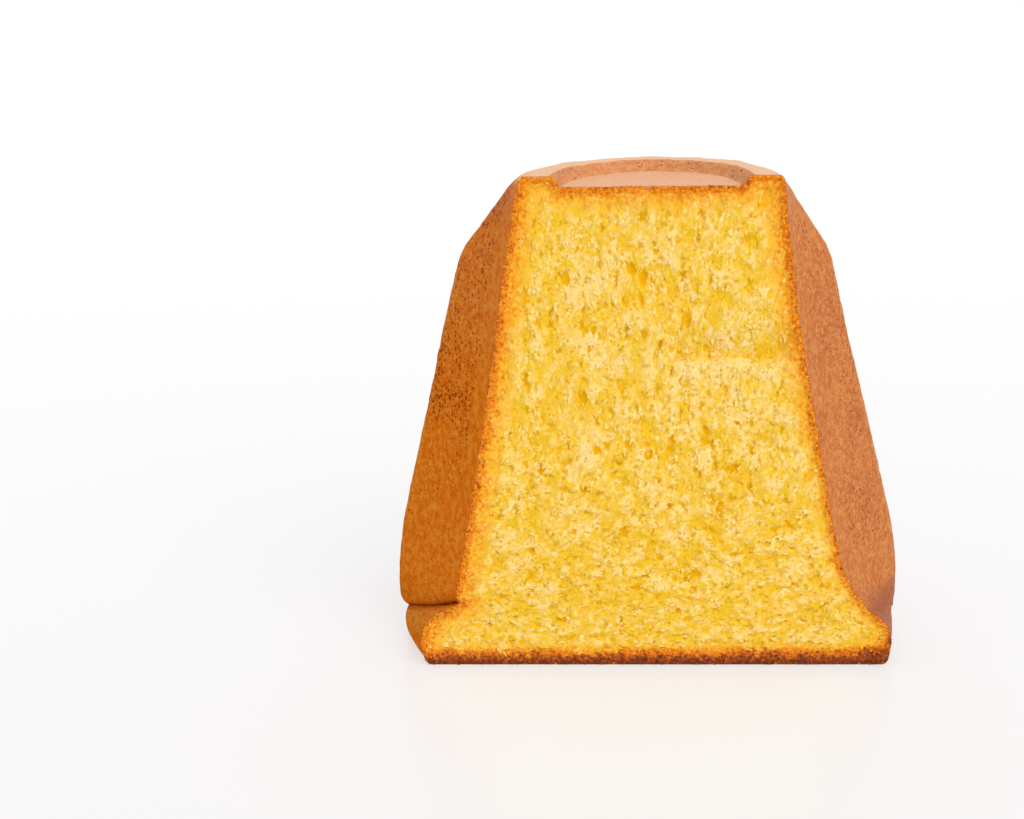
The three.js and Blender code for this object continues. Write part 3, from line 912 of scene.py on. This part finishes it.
def away_from_skin(points):
    """Shortest distance from each point of the cut to the skin, worked out in handfuls to save memory."""
    flat = points.reshape(-1, 2)
    nearest = np.empty(len(flat))
    for first in range(0, len(flat), HANDFUL):
        x, z = flat[first : first + HANDFUL].T[..., None]
        gaps = (x - skin_line[None, :, 0]) ** 2 + (z - skin_line[None, :, 1]) ** 2
        nearest[first : first + HANDFUL] = np.sqrt(gaps.min(axis=1))
    return nearest.reshape(points.shape[:-1])


# %% [markdown]
# The crumb is browned under the skin, less so low on the right, and darkest along the base and in the thick
# corner at its right end. A band of even width would look drawn on, because heat goes into a foam unevenly.
# So noise is added to every distance before it is used, and the border becomes ragged.

# %% How browned the cut crumb is
SIDE_BAKE = 0.58
BROWNED_DEPTH = 12 * MM
THINNER_RIGHT, THINNER_ABOVE = (0, 40 * MM), (60 * MM, 150 * MM)
CORNER_BAKE = 0.24
CORNER_STARTS, CORNER_ENDS, CORNER_DEPTH = (82 * MM, 94 * MM), (12 * MM, 16 * MM), (0.5 * MM, 4 * MM)
RAGGED, RAGGED_SIZE = 2.2 * MM, 3.2 * MM
BASE_HEIGHTS = np.array([0, 1.5, 3.2, 4.1, 5, 5.8, 6.7, 7.6, 9.3, 10.5]) * MM
BASE_BAKE = [1, 0.92, 0.82, 0.74, 0.63, 0.5, 0.36, 0.22, 0.07, 0]


def browning(points, from_skin):
    """How browned the cut crumb is: 1 at the dark base crust, 0.6 under the skin and 0 further in."""
    x, z = points[..., 0], points[..., 1]
    ragged = RAGGED * layered_noise(points, RAGGED_SIZE, 51, 3)
    low_right = ease(x, *THINNER_RIGHT) * (1 - ease(z, *THINNER_ABOVE))
    side = SIDE_BAKE * np.clip(1 - (from_skin + ragged) / (BROWNED_DEPTH * (1 - 0.5 * low_right)), 0, 1)
    at_corner = ease(x, *CORNER_STARTS) * (1 - ease(z, *CORNER_ENDS))
    side = side + CORNER_BAKE * at_corner * (1 - ease(from_skin + ragged, *CORNER_DEPTH))
    base = np.interp((z + 0.6 * ragged) / (1 + 0.5 * at_corner), BASE_HEIGHTS, BASE_BAKE)
    return np.maximum(side, base)


print(f"dark crust up to {BASE_HEIGHTS[1] / MM:.1f} mm, browned crumb up to {BASE_HEIGHTS[-1] / MM:.1f} mm")

# %% [markdown]
# ## The crumb
#
# Torn crumb is a foam of bubbles whose thin walls were pulled open. A photo-like pattern painted on a flat
# face would look printed, and scattering thousands of holes by boolean cuts would take minutes. So the face
# is one fine grid whose points are pushed back by bubbles of two sizes and pulled forward by torn fluff,
# with the bubbles drawn out upwards in the tall middle and pressed flat near the base, as the dough rose.

# %% Bubbles of the torn face
BUBBLES = [
    # size of a cell, share that is open, smallest and largest reach in cells, depth, seed
    (6.0 * MM, 0.3, 0.18, 0.4, 1.2 * MM, 61),
    (3.4 * MM, 0.5, 0.18, 0.42, 0.8 * MM, 71),
]
PRESSED, DRAWN_OUT, DRAWN_BETWEEN = 0.66, 1.8, (10 * MM, 150 * MM)


def risen(points):
    """The face's points with their height squeezed or drawn out, so that noise made there looks risen."""
    heights = np.linspace(-5 * MM, 220 * MM, 400)
    aspect = mix(PRESSED, DRAWN_OUT, ease(heights, *DRAWN_BETWEEN))
    drawn = np.concatenate([[0], np.cumsum(np.diff(heights) / aspect[1:])])
    warped = points.copy()
    warped[..., 1] = np.interp(points[..., 1], heights, drawn)
    return warped


def open_bubbles(flow):
    """Depth of the bubbles that the tear opened."""
    pores = np.zeros(flow.shape[:-1])
    ragged = 0.4 * soft_noise(flow, 1.3 * MM, 91) + 0.5 * soft_noise(flow, 2.9 * MM, 92)
    for size, share, smallest, largest, depth, seed in BUBBLES:
        nearest, size_draw, kind_draw = cell_noise(flow, size, seed)
        reach = mix(smallest, largest, size_draw)
        bowl = np.clip(1 - np.maximum(nearest / reach + ragged, 0) ** 2, 0, 1)
        pores = np.maximum(pores, depth * mix(0.6, 1, size_draw) * bowl * (kind_draw < share))
    return pores


print("bubbles in cells of", [round(one[0] / MM, 1) for one in BUBBLES], "mm")

# %% The ledge and the fluff
CRUMB_SWELL, CRUMB_SWELL_SIZE = 0.8 * MM, 28 * MM
FLUFF_SIZE, FLUFF_HEIGHT = 4.4 * MM, 2.3
LEDGE_LEFT, LEDGE_RIGHT, LEDGE_RUN_OUT = 5 * MM, 60 * MM, 8 * MM
LEDGE_HEIGHT, LEDGE_WAVES, LEDGE_WAVE_SIZE = 129 * MM, 1.6 * MM, 6 * MM
LEDGE_DROP, LEDGE_STEP, LEDGE_FADES = 3 * MM, 1.4 * MM, (3 * MM, 20 * MM)


def along_ledge(x):
    """1 along the ledge and 0 beyond its two ends."""
    started = ease(x, LEDGE_LEFT, LEDGE_LEFT + LEDGE_RUN_OUT)
    return started * (1 - ease(x, LEDGE_RIGHT - LEDGE_RUN_OUT, LEDGE_RIGHT))


def torn_relief(points):
    """The fluff of the torn crumb, the slow swell of the whole face with its ledge, and the open bubbles."""
    flow = risen(points)
    bent = flow.copy()
    for axis, seed in ((0, 41), (1, 43)):
        wide_bend = 1 * MM * soft_noise(flow, 6 * MM, seed)
        bent[..., axis] += wide_bend + 0.5 * MM * soft_noise(flow, 2.4 * MM, seed + 1)
    fluff = layered_noise(bent, FLUFF_SIZE, 47, 3) * FLUFF_HEIGHT
    swell = CRUMB_SWELL * layered_noise(points, CRUMB_SWELL_SIZE, 45, 2)
    above = points[..., 1] - (LEDGE_HEIGHT + LEDGE_WAVES * soft_noise(points, LEDGE_WAVE_SIZE, 97))
    over = ease(above, 0, LEDGE_STEP) * (1 - ease(above, *LEDGE_FADES))
    return fluff, swell - LEDGE_DROP * along_ledge(points[..., 0]) * over, open_bubbles(bent)


def ledge_light_and_base_tone(points):
    """A painted highlight on the ledge, painted shade in the hollow above it, and how much yellower the crumb
    is near the base.
    """
    x, z = points[..., 0], points[..., 1]
    below = LEDGE_HEIGHT - z
    ledge_highlight = along_ledge(x) * ease(below, -2.5 * MM, 0) * (1 - ease(below, 4 * MM, 9 * MM))
    hollow_shade = along_ledge(x) * ease(-below, 1 * MM, 3 * MM) * (1 - ease(-below, 6 * MM, 14 * MM))
    return 1.1 * ledge_highlight - 0.4 * hollow_shade - 0.25 * (1 - ease(z, 15 * MM, 80 * MM))


print(f"ledge {(LEDGE_RIGHT - LEDGE_LEFT) / MM:.0f} mm long, {LEDGE_HEIGHT / MM:.0f} mm up")

# %% The grid of the torn face
CUT_ROWS = 360
CUT_COLUMNS = 268
CRUMB_INSET = 1.3 * MM
side_rows = slice(BASE_ROWS, first_top_row + 1)
right_edge, left_edge = skin_moved[0, side_rows], skin_moved[-1, side_rows]
top_line = np.concatenate([skin_moved[-1, first_top_row:], skin_moved[0, first_top_row:][::-1]])
top_line = top_line[np.argsort(top_line[:, 0])]


def edge_x(edge, z):
    return np.interp(z, edge[:, 2], edge[:, 0])


def top_z(x):
    return np.interp(x, top_line[:, 0], top_line[:, 2]) - CRUMB_INSET


share_across = np.linspace(0, 1, CUT_COLUMNS)[:, None]
share_up = np.linspace(0, 1, CUT_ROWS)[None, :]
top_left = edge_x(left_edge, HEIGHT - RIM_ROUNDING_IN_VALLEY) + CRUMB_INSET
top_right = edge_x(right_edge, HEIGHT - RIM_ROUNDING_IN_VALLEY) - CRUMB_INSET
face_z = mix(CRUMB_INSET, top_z(mix(top_left, top_right, share_across)), share_up)
face_left = np.minimum(edge_x(left_edge, face_z), -1 * MM) + CRUMB_INSET
face_right = edge_x(right_edge, face_z) - CRUMB_INSET
face_x = mix(face_left, face_right, share_across)
face = np.stack([face_x, face_z], axis=-1)
from_skin = away_from_skin(face)
print("torn face grid:", face.shape[:2], "furthest from the skin", round(from_skin.max() / MM), "mm")

# %% [markdown]
# Close under the crust the bubbles stayed small, so the face is crumbly there and fluffy further in. Two
# reliefs are worked out for every point and mixed by its distance from the skin. The colour paints a
# highlight on the points that stand out and shade on those that lie deep, so both values are kept as well.

# %% Relief of the torn face
GRAIN, GRAIN_HEIGHT = 1.1 * MM, 0.28 * MM
HOLE_SPACING, HOLE_DEPTH, HOLE_REACH, HOLE_SHARE = 2.2 * MM, 0.55 * MM, 0.42, 0.35
GRAIN_WAVES, GRAIN_WAVE_SIZE = 0.35 * MM, 4 * MM
FLUFF = 0.4 * MM
CRUMBLY_BORDER = (1.6 * MM, 4.5 * MM)


def grain_relief(points):
    """Fine crumbly grains with small holes between them."""
    nearest, size_draw, _ = cell_noise(points, GRAIN, 103)
    fine, _, fine_kind = cell_noise(points, HOLE_SPACING, 111)
    lumps = GRAIN_HEIGHT * (1 - nearest) * mix(0.3, 1.0, size_draw)
    holes = HOLE_DEPTH * np.sqrt(np.clip(1 - (fine / HOLE_REACH) ** 2, 0, 1)) * (fine_kind < HOLE_SHARE)
    return lumps - holes + GRAIN_WAVES * soft_noise(points, GRAIN_WAVE_SIZE, 113)


def torn_face(points, from_skin):
    """Relief and open bubbles of the cut face, its two kinds of crumb, and the share of the fluffy one."""
    fluffy = ease(np.minimum(from_skin, points[..., 1]), *CRUMBLY_BORDER)
    fluff, swell, pores = torn_relief(points)
    grains = grain_relief(points)
    return mix(grains, FLUFF * fluff + swell - pores, fluffy), fluffy * pores, grains, fluff, fluffy


def blurred(grid, times):
    """Each point becomes the mean of its neighbours, several times over."""
    for _ in range(times):
        edge = np.pad(grid, 1, mode="edge")
        grid = (edge[:-2, 1:-1] + edge[2:, 1:-1] + edge[1:-1, :-2] + edge[1:-1, 2:] + 2 * grid) / 6
    return grid


face_relief, pores, grains, fluff, fluffy = torn_face(face, from_skin)
# Painted highlight and shade: raised grains and fluff are paler, low ones darker, and the ledge's painted
# light is added.
face_light = mix((grains - blurred(grains, 8)) / (0.5 * MM), fluff, fluffy) + ledge_light_and_base_tone(face)
print("relief from", round(face_relief.min() / MM, 2), "to", round(face_relief.max() / MM, 2), "mm")
print("open bubbles cover", round(float((pores > 0.3 * MM).mean()), 2), "of the face")

# %% The crumb body
CRUMB_GAP = 0.1 * MM
core = shell_inside(coarse_angles, COARSE_ROWS, SKIN_THICKNESS + CRUMB_GAP)
face_points = np.stack([face_x, -face_relief, face_z], axis=-1).reshape(-1, 3)
crumb_points = np.concatenate([face_points, core.reshape(-1, 3)])
face_index = np.arange(len(face_points)).reshape(CUT_COLUMNS, CUT_ROWS)
core_index = len(face_points) + np.arange(inner_count).reshape(core.shape[:2])
middle = CUT_COLUMNS // 2
right_loop = np.concatenate([face_index[middle:, 0], face_index[-1, 1:-1], face_index[middle:, -1][::-1]])
left_half = face_index[: middle + 1]
left_loop = np.concatenate([left_half[:, 0][::-1], left_half[0, 1:-1], left_half[:, -1]])
crumb_triangles = np.concatenate(
    [
        grid_triangles(CUT_COLUMNS, CUT_ROWS),
        grid_triangles(*core.shape[:2], len(face_points)),
        zip_rows(crumb_points, right_loop, core_index[0]),
        zip_rows(crumb_points, core_index[-1], left_loop),
        [
            (face_index[middle, 0], core_index[0, 0], core_index[-1, 0]),
            (face_index[middle, -1], core_index[-1, -1], core_index[0, -1]),
        ],
    ]
)
crumb_values = {
    "lift": with_hidden(face_light),
    "pore": with_hidden(pores / MM),
    "bake": with_hidden(browning(face, from_skin)),
}
make_piece("crumb", in_place(crumb_points), crumb_triangles, crumb_values, crumb_look, "crumb")

# %% [markdown]
# ## The cut edge of the crust
#
# Where the knife went through the crust there is a narrow border of fine dry grains: dark along the base,
# orange along the sides and the top. It could be painted on the crumb's grid, but that grid has no points at
# the very edge. So it is a ribbon that follows the cut outline, lies over the join between skin and crumb,
# and dips under the crumb at its ragged inner side.

# %% The ribbon's path and width
EDGE_WIDTH, BASE_EDGE_WIDTH = 2.6 * MM, 6.5 * MM
EDGE_RAGGED, EDGE_RAGGED_SIZE = 0.9 * MM, 4 * MM
EDGE_INSET, EDGE_WAVES, EDGE_WAVE_SIZE = 0.25 * MM, 0.15 * MM, 1.6 * MM
EDGE_ACROSS = 11
INWARD_SMOOTHINGS = 160

tangent = np.roll(outline, -1, axis=0) - np.roll(outline, 1, axis=0)
inward = np.stack([-tangent[:, 1], tangent[:, 0]], axis=-1)
for _ in range(INWARD_SMOOTHINGS):
    inward = (np.roll(inward, 1, axis=0) + inward + np.roll(inward, -1, axis=0)) / 3
inward = inward / np.linalg.norm(inward, axis=1, keepdims=True)
at_base = 1 - ease(outline[:, 1], 1 * MM, 7 * MM)
width = mix(EDGE_WIDTH, BASE_EDGE_WIDTH, at_base)
width = width + EDGE_RAGGED * layered_noise(outline, EDGE_RAGGED_SIZE, 121, 3)
first_inset = EDGE_INSET + EDGE_WAVES * soft_noise(outline, EDGE_WAVE_SIZE, 127)
shares = np.linspace(0, 1, EDGE_ACROSS)
insets = first_inset[:, None] + (width - first_inset)[:, None] * shares[None, :]
ribbon = outline[:, None, :] + inward[:, None, :] * insets[..., None]
ribbon[..., 1] = np.maximum(ribbon[..., 1], 0.15 * MM)
print("ribbon", round(width.min() / MM, 1), "to", round(width.max() / MM, 1), "mm wide")

# %% The browned edge
EDGE_PROUD = 0.3 * MM
EDGE_DIP = 1.5 * MM
EDGE_BACK = 2.2 * MM


def round_ring(values):
    """Values across the ribbon, for its front, its back and the points that close the ring."""
    whole = np.concatenate([values, values[:, -1:], values[:, :1], values[:, :1]], axis=1)
    return np.concatenate([whole, whole[:1]], axis=0).reshape(-1)


crown = EDGE_PROUD * ease(shares, 0, 0.12) - EDGE_DIP * ease(shares, 0.72, 1.0)
ribbon_relief = grain_relief(ribbon) * ease(shares, 0, 0.2)[None, :] + crown[None, :]
front = np.stack([ribbon[..., 0], -ribbon_relief, ribbon[..., 1]], axis=-1)
back = front[:, [-1, 0]].copy()
back[..., 1] = EDGE_BACK
ring = np.concatenate([front, back, front[:, :1]], axis=1)
ring = np.concatenate([ring, ring[:1]], axis=0)
# Painted highlight and shade on the ribbon: paler on its raised grains, darker in its dips.
ribbon_light = np.clip((ribbon_relief - blurred(ribbon_relief, 4)) / (0.3 * MM), -1.5, 1.5)
edge_values = {
    "lift": round_ring(ribbon_light),
    "pore": round_ring(0 * ribbon_light),
    "bake": round_ring(browning(ribbon, away_from_skin(ribbon))),
}
edge_triangles = grid_triangles(*ring.shape[:2])
make_piece("crust_edge", in_place(ring.reshape(-1, 3)), edge_triangles, edge_values, edge_look, "crust")

# %% [markdown]
# ## Loose crumbs
#
# The tear left thousands of small shreds standing on the face, and the crust's cut edge is set with dry
# grains. They could be painted, but they catch light and throw tiny shadows, which is what makes crumb look
# soft. Scattered instances wouldn't reach the exported model, so each kind is one real mesh of small
# eight-sided grains, half sunk in the surface below them.

# %% Small eight-sided grains as one mesh
GRAIN_CORNERS = 6
OUTER_CORNER = 4
OUTER_SIDES = [(0, 2, 4), (2, 1, 4), (1, 3, 4), (3, 0, 4)]
GRAIN_SIDES = np.array([*OUTER_SIDES, (2, 0, 5), (1, 2, 5), (3, 1, 5), (0, 3, 5)])
LOWEST_CORNER = 0.05 * MM


def make_grains(middles, half_sizes, turns, draws):
    """Corners and triangles. Half sizes are along the grain, across it and out of the face."""
    zero = np.zeros(len(turns))
    along = np.stack([np.cos(turns), draws.uniform(-0.25, 0.25, len(turns)), np.sin(turns)], axis=-1)
    across = np.stack([-np.sin(turns), zero, np.cos(turns)], axis=-1)
    out = np.stack([zero, zero - 1, zero], axis=-1)
    arms = np.stack([along, -along, across, -across, out, -out], axis=1)
    each = (len(turns), GRAIN_CORNERS, 1)
    reach = np.repeat(half_sizes, 2, axis=1)[..., None] * draws.uniform(0.6, 1.4, each)
    bend = across[:, None, :] * half_sizes[:, 1, None, None] * draws.uniform(-1, 1, each)
    corners = middles[:, None, :] + arms * reach + 0.6 * bend
    corners[..., 2] = np.maximum(corners[..., 2], LOWEST_CORNER)
    triangles = GRAIN_SIDES[None] + GRAIN_CORNERS * np.arange(len(turns))[:, None, None]
    return corners.reshape(-1, 3), triangles.reshape(-1, 3)


def on_face(spots, height):
    """Places in front of the cut plane, for spots on it."""
    return np.stack([spots[:, 0], -height, spots[:, 1]], axis=-1)


# %% Where the shreds stand, and how they lie
SHRED_COUNT = 23000
SHRED_INSET = 2 * MM
SHRED_PROUD = 0.06 * MM
SHRED_LENGTHS = (0.4 * MM, 2.1 * MM)
SHORT_NEAR_SKIN = (3 * MM, 12 * MM)
UPRIGHT_ABOVE = (20 * MM, 120 * MM)

draws = np.random.default_rng(7)
tries = draws.uniform((-105 * MM, SHRED_INSET), (105 * MM, 203 * MM), (3 * SHRED_COUNT, 2))
inside_cut = tries[:, 0] > edge_x(left_edge, tries[:, 1]) + SHRED_INSET
inside_cut &= tries[:, 0] < edge_x(right_edge, tries[:, 1]) - SHRED_INSET
inside_cut &= tries[:, 1] < top_z(tries[:, 0]) - 1 * MM
spots = tries[inside_cut][:SHRED_COUNT]
spots_from_skin = away_from_skin(spots)
spot_relief, spot_pores, *_ = torn_face(spots, spots_from_skin)
kept = spot_pores < draws.uniform(0.1 * MM, 0.9 * MM, len(spots))
spots, spots_from_skin = spots[kept], spots_from_skin[kept]
spot_relief, spot_pores = spot_relief[kept], spot_pores[kept]
upright = ease(spots[:, 1], *UPRIGHT_ABOVE)
turns = mix(0.0, np.pi / 2, upright) + draws.normal(0, 0.5, len(spots)) * mix(1.4, 0.7, upright)
half_length = mix(*SHRED_LENGTHS, draws.uniform(0, 1, len(spots)) ** 2)
half_length *= mix(0.6, 1, ease(spots_from_skin, *SHORT_NEAR_SKIN))
half_width = half_length * draws.uniform(0.25, 0.6, len(spots))
stands_out = half_width * draws.uniform(0.06, 0.17, len(spots))
shred_sizes = np.stack([half_length, half_width, stands_out], axis=-1)
shred_middles = on_face(spots, spot_relief + SHRED_PROUD)
shred_points, shred_triangles = make_grains(shred_middles, shred_sizes, turns, draws)
print(len(spots), "shreds, the longest", round(2 * half_length.max() / MM, 1), "mm")

# %% Shreds of torn crumb
CLUSTER_SIZE = 4.5 * MM
SCORCHED, SCORCHED_NEAR_SKIN = (0.25, 0.015), (5 * MM, 16 * MM)

clusters = layered_noise(risen(spots), CLUSTER_SIZE, 131, 2)
# Painted highlight and shade: each shred's tip is paler than its rim, over a random tone of its own and of
# its cluster, and the ledge's painted light.
shred_light_and_tone = draws.uniform(-0.45, 0.9, len(spots)) + 2.1 * clusters + ledge_light_and_base_tone(spots)
rim_shade = shred_light_and_tone - draws.uniform(0.2, 1.0, len(spots))
on_tip = np.arange(GRAIN_CORNERS)[None, :] == OUTER_CORNER
shred_bake = browning(spots, spots_from_skin)
shred_bake = shred_bake * mix(draws.uniform(0.0, 1.5, len(spots)), 1, ease(shred_bake, 0.5, 0.65))
scorched = draws.uniform(0, 1, len(spots)) < mix(*SCORCHED, ease(spots_from_skin, *SCORCHED_NEAR_SKIN))
shred_bake = np.where(scorched, np.maximum(shred_bake, draws.uniform(0.15, 0.38, len(spots))), shred_bake)
shred_values = {
    "lift": np.where(on_tip, shred_light_and_tone[:, None], rim_shade[:, None]).reshape(-1),
    "pore": np.repeat(0.5 * spot_pores / MM, GRAIN_CORNERS),
    "bake": np.repeat(shred_bake, GRAIN_CORNERS),
}
shreds = (in_place(shred_points), shred_triangles, shred_values)
make_piece("torn_crumbs", *shreds, shred_look, "crumb", smooth=False)

# %% Dry grains along the cut crust
EDGE_GRAIN_COUNT = 9000
EDGE_GRAIN_SIZES = (0.15 * MM, 0.5 * MM)
EDGE_GRAIN_SHAPE = np.array([1.3, 1.0, 0.9])

picked = draws.integers(0, len(outline), EDGE_GRAIN_COUNT)
reach_in = mix(2.4 * MM, 7 * MM, at_base[picked]) * draws.uniform(0, 1, EDGE_GRAIN_COUNT) ** 1.3
spots = outline[picked] + inward[picked] * (0.3 * MM + reach_in)[:, None]
spots += draws.normal(0, 0.15 * MM, spots.shape)
spots[:, 1] = np.maximum(spots[:, 1], 0.5 * MM)
edge_sizes = draws.uniform(*EDGE_GRAIN_SIZES, (EDGE_GRAIN_COUNT, 3)) * EDGE_GRAIN_SHAPE
off_ribbon = ease(reach_in, 1.5 * MM, 2.4 * MM) * (1 - at_base[picked])
edge_middles = on_face(spots, grain_relief(spots) + EDGE_PROUD * (1 - off_ribbon))
edge_turns = draws.uniform(0, np.pi, EDGE_GRAIN_COUNT)
edge_points, edge_triangles = make_grains(edge_middles, edge_sizes, edge_turns, draws)
edge_bake = browning(spots, away_from_skin(spots)) + draws.normal(0, 0.09, EDGE_GRAIN_COUNT)
edge_values = {
    "lift": np.repeat(draws.uniform(-1, 1, EDGE_GRAIN_COUNT), GRAIN_CORNERS),
    "pore": np.zeros(GRAIN_CORNERS * EDGE_GRAIN_COUNT),
    "bake": np.repeat(np.clip(edge_bake, 0, 1), GRAIN_CORNERS),
}
edge_grains = (in_place(edge_points), edge_triangles, edge_values)
make_piece("edge_crumbs", *edge_grains, edge_grain_look, "crust", smooth=False)

# %% [markdown]
# ## Floor and light
#
# The photo is high-key: a white table that runs on to the horizon, soft light from all round and a broader
# lamp from the upper right. A bright even sky and one very soft sun give that from every side, without a
# lamp that would show in the other views.

# %% White table
FLOOR_REACH = 9.0
TABLE_GREY = (0.3, 0.3, 0.3, 1)
TABLE_ROUGHNESS = 0.3
TABLE_GLOSS = 0.15
TABLE_GLOW, TABLE_GLOW_COLOUR = 0.585, (1, 0.99, 0.99, 1)

floor_mesh = bpy.data.meshes.new("table")
corners = [(FLOOR_REACH * x, FLOOR_REACH * y, 0) for x, y in ((-1, -1), (1, -1), (1, 1), (-1, 1))]
floor_mesh.from_pydata(corners, [], [(0, 1, 2, 3)])
floor = bpy.data.objects.new("table", floor_mesh)
bpy.context.scene.collection.objects.link(floor)
table_finish, _, shader = new_finish("table_white")
fill(shader, Base_Color=TABLE_GREY, Roughness=TABLE_ROUGHNESS, Specular_IOR_Level=TABLE_GLOSS)
fill(shader, Emission_Color=TABLE_GLOW_COLOUR, Emission_Strength=TABLE_GLOW)
floor_mesh.materials.append(table_finish)
print("table", 2 * FLOOR_REACH, "m square")

# %% Soft studio light
SKY = 0.82
SUN = 1.4
SUN_SOFTNESS = 50
SUN_TURN = (48, 0, 32)

world = bpy.data.worlds.new("studio")
bpy.context.scene.world = world
world.use_nodes = True
fill(world.node_tree.nodes["Background"], Color=(1, 1, 1, 1), Strength=SKY)
sun_data = bpy.data.lights.new("soft_sun", "SUN")
sun_data.energy = SUN
sun_data.angle = np.radians(SUN_SOFTNESS)
sun = bpy.data.objects.new("soft_sun", sun_data)
sun.rotation_euler = [np.radians(turn) for turn in SUN_TURN]
bpy.context.scene.collection.objects.link(sun)
bpy.context.scene.view_settings.view_transform = "Standard"
print("sky", SKY, "sun", SUN)
